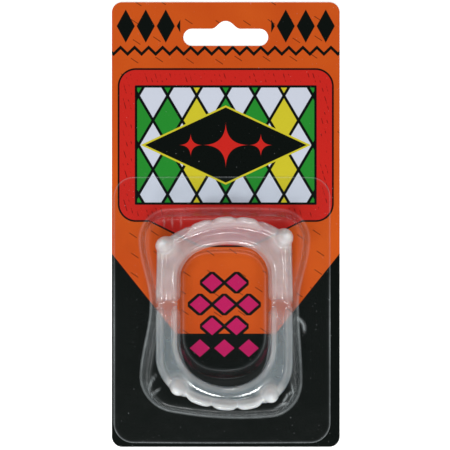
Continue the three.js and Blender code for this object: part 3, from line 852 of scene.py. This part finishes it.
TINT = {
    "thin_milk": (0.78, 0.90, 1.0, 1),
    "thick_milk": (0.95, 0.975, 0.98, 1),
    "haze": (0.84, 0.92, 0.93, 1),
    "clear": (0.988, 0.992, 0.992, 1),
    "smoky": (0.72, 0.75, 0.76, 1),
    "dark_board": (0.40, 0.38, 0.34, 1),
    "pale_board": (0.58, 0.56, 0.51, 1),
    "dust": (0.5, 0.52, 0.52, 1),
    "floor": (0.9, 0.9, 0.9, 1),
    "white": (1, 1, 1, 1),
}
MILKY = {"thin": 0.16, "contrast": 5.0, "mottle": 0.8, "patchiness": 0.5}
MILKY_BODY = {
    "Roughness": 0.42,
    "Specular IOR Level": 0.25,
    "Subsurface Weight": 0.7,
    "Subsurface Radius": (1.0, 0.9, 0.8),
    "Subsurface Scale": 2.6 * MM,
}
CLEAR = {"haze": 0.013, "streaks": 0.045, "least": 0.0003, "scuffs": 0.015, "smoke": 0.7, "smoke_power": 2.5}
SCUFF = {"from": 0.68, "contrast": 3.0}
DUST = {"from": 0.765, "contrast": 30.0, "strength": 0.3}
VARNISH = {"back": 0.8, "face": 0.28, "fibre": 0.08, "fibre_bump": 0.02}
FACE_EDGE = {"below": 0.06, "run": 0.03}
SHINE_POWER = 5.0
TONE = {"contrast": 2.4, "less": 0.7}


def milky_plastic():
    """Soft translucent plastic: as much of a pale scattering skin as the moulding's milk value says over a
    clear ground, with a soft gloss that grows where it turns away."""
    f = Finish("milky_plastic")
    milk = f.node("Attribute", {"attribute_name": "milk"}, output=2)
    cloud = f.noise(0.22, detail=4.0) - 0.5
    bump = f.grain(f.noise(2.4, detail=2.0), strength=0.15, depth=0.1)
    thick = ((milk - MILKY["thin"]) * MILKY["contrast"] + cloud * MILKY["mottle"]).clamped()
    colour = f.blend(thick, TINT["thin_milk"], TINT["thick_milk"])
    body = f.node("BsdfPrincipled", None, {"Base Color": colour, "Normal": bump} | MILKY_BODY)
    share = (milk * (1.0 + cloud * MILKY["patchiness"])).clamped()
    skin = f.layer(share, f.node("BsdfTransparent"), body)
    return f.end(f.layer(f.shine(face_on=0.07, edge_on=0.35), skin, f.gloss(bump, roughness=0.13)))


def clear_sheet():
    """Thin clear plastic: a little haze where the sheet is stretched or bent, and a painted highlight of haze
    along its cut edge, over a clear ground that looks smokier where it turns away, with a soft gloss."""
    f = Finish("clear_sheet")
    haze = f.node("Attribute", {"attribute_name": "haze"}, output=2)
    streak = f.noise(0.3, detail=5.0, rough=0.65, tall=12.0)
    scuff = f.noise(1.7, rough=0.7)
    bump = f.grain(f.noise(0.09, detail=2.0), strength=0.5, depth=1.2)
    body = f.node("BsdfPrincipled", None, {
        "Base Color": TINT["haze"], "Roughness": 0.3, "Specular IOR Level": 0.4,
    })
    scuffs = ((scuff - SCUFF["from"]) * SCUFF["contrast"]).clamped() * CLEAR["scuffs"]
    share = haze * (streak * CLEAR["streaks"] + CLEAR["haze"]) + CLEAR["least"] + scuffs
    clear = f.node("BsdfTransparent", None, {"Color": TINT["clear"]})
    smoky = f.node("BsdfTransparent", None, {"Color": TINT["smoky"]})
    ground = f.layer(f.turned(CLEAR["smoke_power"]) * CLEAR["smoke"], clear, smoky)
    skin = f.layer(share.clamped(), ground, body)
    return f.end(f.layer(f.shine(face_on=0.007, edge_on=0.25), skin, f.gloss(bump, roughness=0.2)))


INK = {
    "orange": (0.68, 0.108, 0.013, 1),
    "deep_orange": (0.60, 0.078, 0.010, 1),
    "black": (0.004, 0.006, 0.005, 1),
    "red": (0.62, 0.022, 0.016, 1),
    "dark_red": (0.11, 0.005, 0.005, 1),
    "green": (0.022, 0.27, 0.030, 1),
    "white": (0.66, 0.70, 0.80, 1),
    "yellow": (0.66, 0.58, 0.03, 1),
    "magenta": (0.55, 0.014, 0.12, 1),
}
EDGE_SOFTNESS = 0.16
PANEL = {"y": 30.6, "half_wide": 41.6, "half_high": 29.6, "corner": 7.0, "border": 6.6, "outline": 0.7}
KEEL = {"slope": 0.5, "foot": -13.7, "flat": -8.7, "half_wide": 33.0}
HATCH = {"lean": 0.3, "pitch": 1.9, "half_wide": 0.16, "half_long": 1.7, "outward": 0.4, "strength": 0.8}
HATCH_BREAKS = {"from": 0.5, "contrast": 9.0}
DIAMONDS = {"across": 11.2, "down": 19.0, "line": 0.62, "inset": 0.9, "slant": 0.86}
YELLOW_DIAMONDS = {"every": 3.0, "start": 30.0}
BADGE = {"half_wide": 29.0, "half_high": 13.5, "edge": 1.6, "gap": 0.9}
STARS = {"middle": 9.0, "side": 4.6, "apart": 13.5, "sharpness": 1.6}
HEADER_ROW = {"pitch": 7.7, "y": 76.4, "half_wide": 3.5, "half_high": 6.4, "from": 17.5, "to": 42.5}
ZIGZAG = {"y": 65.6, "rise": 2.6, "pitch": 5.4, "half_wide": 0.75}
FIELD = {"apex": -66.0, "slope": 1.25, "flat": -42.0}
WELL_MARKS = {"across": 9.4, "down": 8.4, "half_wide": 3.9, "half_high": 3.4, "outline": 1.15}
WELL_ROWS = {"top": 1.5, "foot": -2.2, "half_span": 10.0}
TICKS = {"across": 10.5, "down": 7.5, "half_long": 1.7, "half_wide": 0.14, "strength": 0.8}
TICK_STRAY = {"x": 6.0, "y": 2.4}
TICK_WAY = (0.83, 0.55)


def inside(distance):
    """1 inside an inked shape and 0 outside, from how far outside its edge a point lies."""
    return (0.5 - distance / EDGE_SOFTNESS).clamped()


def rounded_box(x, y, half_wide, half_high, corner):
    """How far outside a box with round corners, and negative inside it: the length of what passes the centres
    of the corners' arcs, or the nearer side's distance, less the corners' radius."""
    dx = abs(x) - (half_wide - corner)
    dy = abs(y) - (half_high - corner)
    over_x, over_y = dx.math("MAXIMUM", 0.0), dy.math("MAXIMUM", 0.0)
    within = dx.math("MAXIMUM", dy).math("MINIMUM", 0.0)
    return (over_x * over_x + over_y * over_y).math("SQRT") + within - corner


def lozenge(x, y, half_wide, half_high):
    """How far outside a lozenge: |x| / half width + |y| / half height - 1, scaled to about millimetres."""
    scale = half_wide * half_high / (half_wide**2 + half_high**2) ** 0.5
    return (abs(x) / half_wide + abs(y) / half_high - 1.0) * scale


def star(x, y, reach):
    """A measure that is negative inside a four-pointed star: sqrt|x| + sqrt|y| - sqrt(reach)."""
    return (abs(x).math("SQRT") + abs(y).math("SQRT") - reach**0.5) * STARS["sharpness"]


def repeated(x, pitch, shift=0.0):
    """The place within a pattern that repeats: from minus half the pitch to half the pitch."""
    return ((x / pitch + 0.5 + shift).math("FRACT") - 0.5) * pitch


def lower_field(f, ink, x, y):
    """The black field at the foot, whose edge falls from both sides to a flat middle."""
    edge = (abs(x) * FIELD["slope"] + FIELD["apex"]).math("MAXIMUM", FIELD["flat"])
    return f.blend(inside(y - edge), ink, INK["black"])


def ticks(f, ink, x, y):
    """Short slanted strokes scattered over the orange field, one in each cell of a grid and moved about in
    it."""
    cell = f.node("CombineXYZ", None, {
        0: (x / TICKS["across"]).math("FLOOR"), 1: (y / TICKS["down"]).math("FLOOR"),
    })
    chance = f.node("TexWhiteNoise", {"noise_dimensions": "2D"}, {"Vector": cell}) - 0.5
    dx = repeated(x, TICKS["across"], 0.5) - chance * TICK_STRAY["x"]
    dy = repeated(y, TICKS["down"], 0.5) + chance * TICK_STRAY["y"]
    across = abs(dx * TICK_WAY[1] + dy * TICK_WAY[0]) - TICKS["half_wide"]
    beyond = abs(dx * TICK_WAY[0] - dy * TICK_WAY[1]) - TICKS["half_long"]
    return f.blend(inside(across.math("MAXIMUM", beyond)) * TICKS["strength"], ink, INK["black"])


def panel_frame(f, ink, x, y, out):
    """A red frame with a black outline and broken hatching, which reaches down in a shallow keel."""
    v = y - PANEL["y"]
    keel = (abs(x) * KEEL["slope"] + KEEL["foot"]).math("MAXIMUM", KEEL["flat"]) - y
    keel = keel.math("MAXIMUM", v).math("MAXIMUM", abs(x) - KEEL["half_wide"])
    framed = out.math("MINIMUM", keel)
    ink = f.blend(inside(framed), ink, INK["black"])
    ink = f.blend(inside(framed + PANEL["outline"]), ink, INK["red"])
    broken = ((f.noise(0.5, detail=2.0) - HATCH_BREAKS["from"]) * HATCH_BREAKS["contrast"]).clamped()
    strokes = inside(abs(repeated(x + v * HATCH["lean"], HATCH["pitch"])) - HATCH["half_wide"])
    middle = abs(out + PANEL["border"] / 2 + HATCH["outward"])
    hatch = strokes * inside(middle - HATCH["half_long"])
    return f.blend(hatch * broken * HATCH["strength"], ink, INK["dark_red"])


def diamond_fill(f, x, y):
    """White and green diamonds by turns, every third of the green ones yellow, and how far each point lies
    inside its diamond's outline."""
    rise = x / DIAMONDS["across"] + y / DIAMONDS["down"]
    fall = x / DIAMONDS["across"] - y / DIAMONDS["down"]
    line = 0.5 - abs(repeated(rise, 1.0, 0.5)).math("MAXIMUM", abs(repeated(fall, 1.0, 0.5)))
    odd = (rise.math("FLOOR") - fall.math("FLOOR")).math("PINGPONG", 1.0)
    count = rise.math("FLOOR") + fall.math("FLOOR") + YELLOW_DIAMONDS["start"]
    yellow = count.math("MODULO", YELLOW_DIAMONDS["every"]).math("LESS_THAN", 0.5)
    fill = f.blend(odd, INK["white"], INK["green"])
    fill = f.blend(yellow * odd, fill, INK["yellow"])
    scale = DIAMONDS["across"] * DIAMONDS["slant"]
    return fill, inside((DIAMONDS["line"] / DIAMONDS["across"] - line) * scale)


def panel(f, ink, x, y):
    """The panel over the blister: a red frame round a field of white, green and yellow diamonds, and a wide
    black lozenge with three red stars in its middle."""
    v = y - PANEL["y"]
    out = rounded_box(x, v, PANEL["half_wide"], PANEL["half_high"], PANEL["corner"])
    ink = panel_frame(f, ink, x, y, out)
    inner = out + PANEL["border"]
    field = inside(inner + DIAMONDS["inset"])
    ink = f.blend(inside(inner), ink, INK["black"])
    fill, cells = diamond_fill(f, x, v)
    ink = f.blend(field * cells, ink, fill)
    badge = lozenge(x, v, BADGE["half_wide"], BADGE["half_high"])
    ink = f.blend(inside(badge - BADGE["edge"]) * field, ink, INK["yellow"])
    ink = f.blend(inside(badge - BADGE["gap"]), ink, INK["black"])
    stars = star(x, v, STARS["middle"]).math("MINIMUM", star(abs(x) - STARS["apart"], v, STARS["side"]))
    return f.blend(inside(stars), ink, INK["red"])


def header(f, ink, x, y):
    """The header over the panel: solid lozenges on both sides of the slot over a zigzag line."""
    place = repeated(x, HEADER_ROW["pitch"]), y - HEADER_ROW["y"]
    mark = lozenge(*place, HEADER_ROW["half_wide"], HEADER_ROW["half_high"])
    span = (HEADER_ROW["from"] - abs(x)).math("MAXIMUM", abs(x) - HEADER_ROW["to"])
    marks = inside(mark) * inside(span)
    saw = abs(repeated(x, ZIGZAG["pitch"])) * (2 * ZIGZAG["rise"] / ZIGZAG["pitch"]) + ZIGZAG["y"]
    line = inside(abs(y - saw) - ZIGZAG["half_wide"])
    return f.blend(marks.math("MAXIMUM", line), ink, INK["black"])


def well_marks(f, ink, x, y):
    """Magenta lozenges outlined in black, in staggered rows in the well."""
    across, down = WELL_MARKS["across"], WELL_MARKS["down"]
    row = (y / down + 0.5).math("FLOOR")
    dy = repeated(y, down)
    dx = repeated(x, across, row.math("PINGPONG", 1.0) * 0.5)
    shown = inside(abs(x - dx) - WELL_ROWS["half_span"])
    shown = shown * inside(row - WELL_ROWS["top"]) * inside(WELL_ROWS["foot"] - row)
    mark = lozenge(dx, dy, WELL_MARKS["half_wide"], WELL_MARKS["half_high"])
    ink = f.blend(inside(mark - WELL_MARKS["outline"]) * shown, ink, INK["black"])
    return f.blend(inside(mark) * shown, ink, INK["magenta"])


def card_print(f, x, y):
    """The whole printed face."""
    tone = f.noise(0.035)
    ink = f.blend((tone * TONE["contrast"] - TONE["less"]).clamped(), INK["deep_orange"], INK["orange"])
    ink = ticks(f, ink, x, y)
    ink = lower_field(f, ink, x, y)
    ink = panel(f, ink, x, y)
    ink = header(f, ink, x, y)
    return well_marks(f, ink, x - HINGE_X, y - HINGE_Y)


def printed_card():
    """Varnished board: the print on its face, fibres on its back, and pale cut edges."""
    f = Finish("printed_card")
    x, y, z = f.place()
    face = ((z - (CARD_TOP - FACE_EDGE["below"])) / FACE_EDGE["run"]).clamped()
    fibre = f.noise(1.4, detail=5.0, rough=0.7)
    dust = ((f.noise(1.3, detail=1.0) - DUST["from"]) * DUST["contrast"]).clamped() * DUST["strength"]
    ink = f.blend(dust, card_print(f, x, y), TINT["dust"])
    colour = f.blend(face, f.blend(fibre, TINT["dark_board"], TINT["pale_board"]), ink)
    wave = f.noise(0.05, detail=2.0) + fibre * VARNISH["fibre_bump"]
    bump = f.grain(wave, strength=0.2, depth=0.25)
    rough = face * (VARNISH["face"] - VARNISH["back"]) + VARNISH["back"] + (fibre - 0.5) * VARNISH["fibre"]
    shader = f.node("BsdfPrincipled", None, {
        "Base Color": colour, "Roughness": rough, "Specular IOR Level": 0.06, "Normal": bump,
    })
    return f.end(shader)


def pale_floor():
    """Matt white, bright enough of itself to show no shade."""
    f = Finish("pale_floor")
    shader = f.node("BsdfPrincipled", None, {
        "Base Color": TINT["floor"], "Roughness": 0.9, "Specular IOR Level": 0.1,
        "Emission Color": TINT["white"], "Emission Strength": 0.42,
    })
    return f.end(shader)


FLOOR_HALF = 3000.0
FLOOR_DROP = 0.02
LIGHTS = table(
    "name x y z wide high power",
    ("left_box", -700, 60, 520, 800, 900, 0.62),
    ("right_box", 700, 60, 520, 800, 900, 0.51),
    ("far_box", 0, 720, 520, 900, 800, 0.48),
    ("near_box", 0, -720, 520, 900, 800, 0.44),
    ("near_right_glint_box", 150, -430, 600, 150, 150, 1.4),
    ("near_left_glint_box", -130, -430, 600, 150, 150, 2.1),
    ("far_glint_box", -30, 430, 600, 120, 120, 0.9),
    ("left_glint_box", -440, -40, 600, 80, 80, 0.5),
    ("right_glint_box", 450, 60, 600, 80, 80, 0.45),
)
ROOM = {"Color": (0.9, 0.95, 1.0, 1), "Strength": 0.06}
SENSOR_WIDTH = 36.0
CAMERA_REACH = (0.01, 20.0)
CLEAR_LAYERS = 32


def make_floor():
    """A plain square that the card's back rests on."""
    half = FLOOR_HALF
    corners = [(x, y, -FLOOR_DROP) for x, y in ((-half, -half), (half, -half), (half, half), (-half, half))]
    floor = mesh_object("floor", corners, [[0, 1, 2, 3]], smooth=False)
    floor.data.materials.append(pale_floor())


def softbox(name, x, y, z, wide, high, power):
    """An area light at a place in millimetres that faces the middle of the card."""
    light = bpy.data.lights.new(name, "AREA")
    light.shape = "RECTANGLE"
    light.size, light.size_y = wide * MM, high * MM
    light.energy = power
    lamp = bpy.data.objects.new(name, light)
    bpy.context.scene.collection.objects.link(lamp)
    lamp.location = (x * MM, y * MM, z * MM)
    lamp.rotation_euler = (-Vector((x, y, z))).to_track_quat("-Z", "Y").to_euler()


def make_lights():
    """Four wide soft boxes low round the card, so that flat faces mirror none of them to the camera, five
    small ones higher up for the glints on the plastic, and a dim room."""
    for light in LIGHTS:
        softbox(**light)
    world = bpy.data.worlds.new("room")
    world.use_nodes = True
    for name, value in ROOM.items():
        world.node_tree.nodes["Background"].inputs[name].default_value = value
    bpy.context.scene.world = world


def make_camera():
    """Straight above the card, with the photograph's frame of the card at its printed face."""
    data = bpy.data.cameras.new("camera")
    data.sensor_width = SENSOR_WIDTH
    data.lens = data.sensor_width * (CAMERA_HEIGHT - CARD_TOP) / PHOTO_SIDE
    data.clip_start, data.clip_end = CAMERA_REACH
    camera = bpy.data.objects.new("camera", data)
    bpy.context.scene.collection.objects.link(camera)
    camera.location = (PHOTO_CENTRE[0] * MM, PHOTO_CENTRE[1] * MM, CAMERA_HEIGHT * MM)
    bpy.context.scene.camera = camera


def dress(piece, node, material):
    """A new piece stands for a CAD node, rides on the only body and takes its material."""
    piece.data.materials.clear()
    piece.data.materials.append(material)
    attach(piece, "root")
    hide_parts(node)


make_camera()
make_lights()
make_floor()
dress(make_moulding(), "fang_denture", milky_plastic())
dress(make_blister(), "blister", clear_sheet())
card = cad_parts["backing_card"]
card.data.materials.clear()
card.data.materials.append(printed_card())

bpy.context.scene.view_settings.view_transform = "Standard"
bpy.context.scene.cycles.transparent_max_bounces = CLEAR_LAYERS
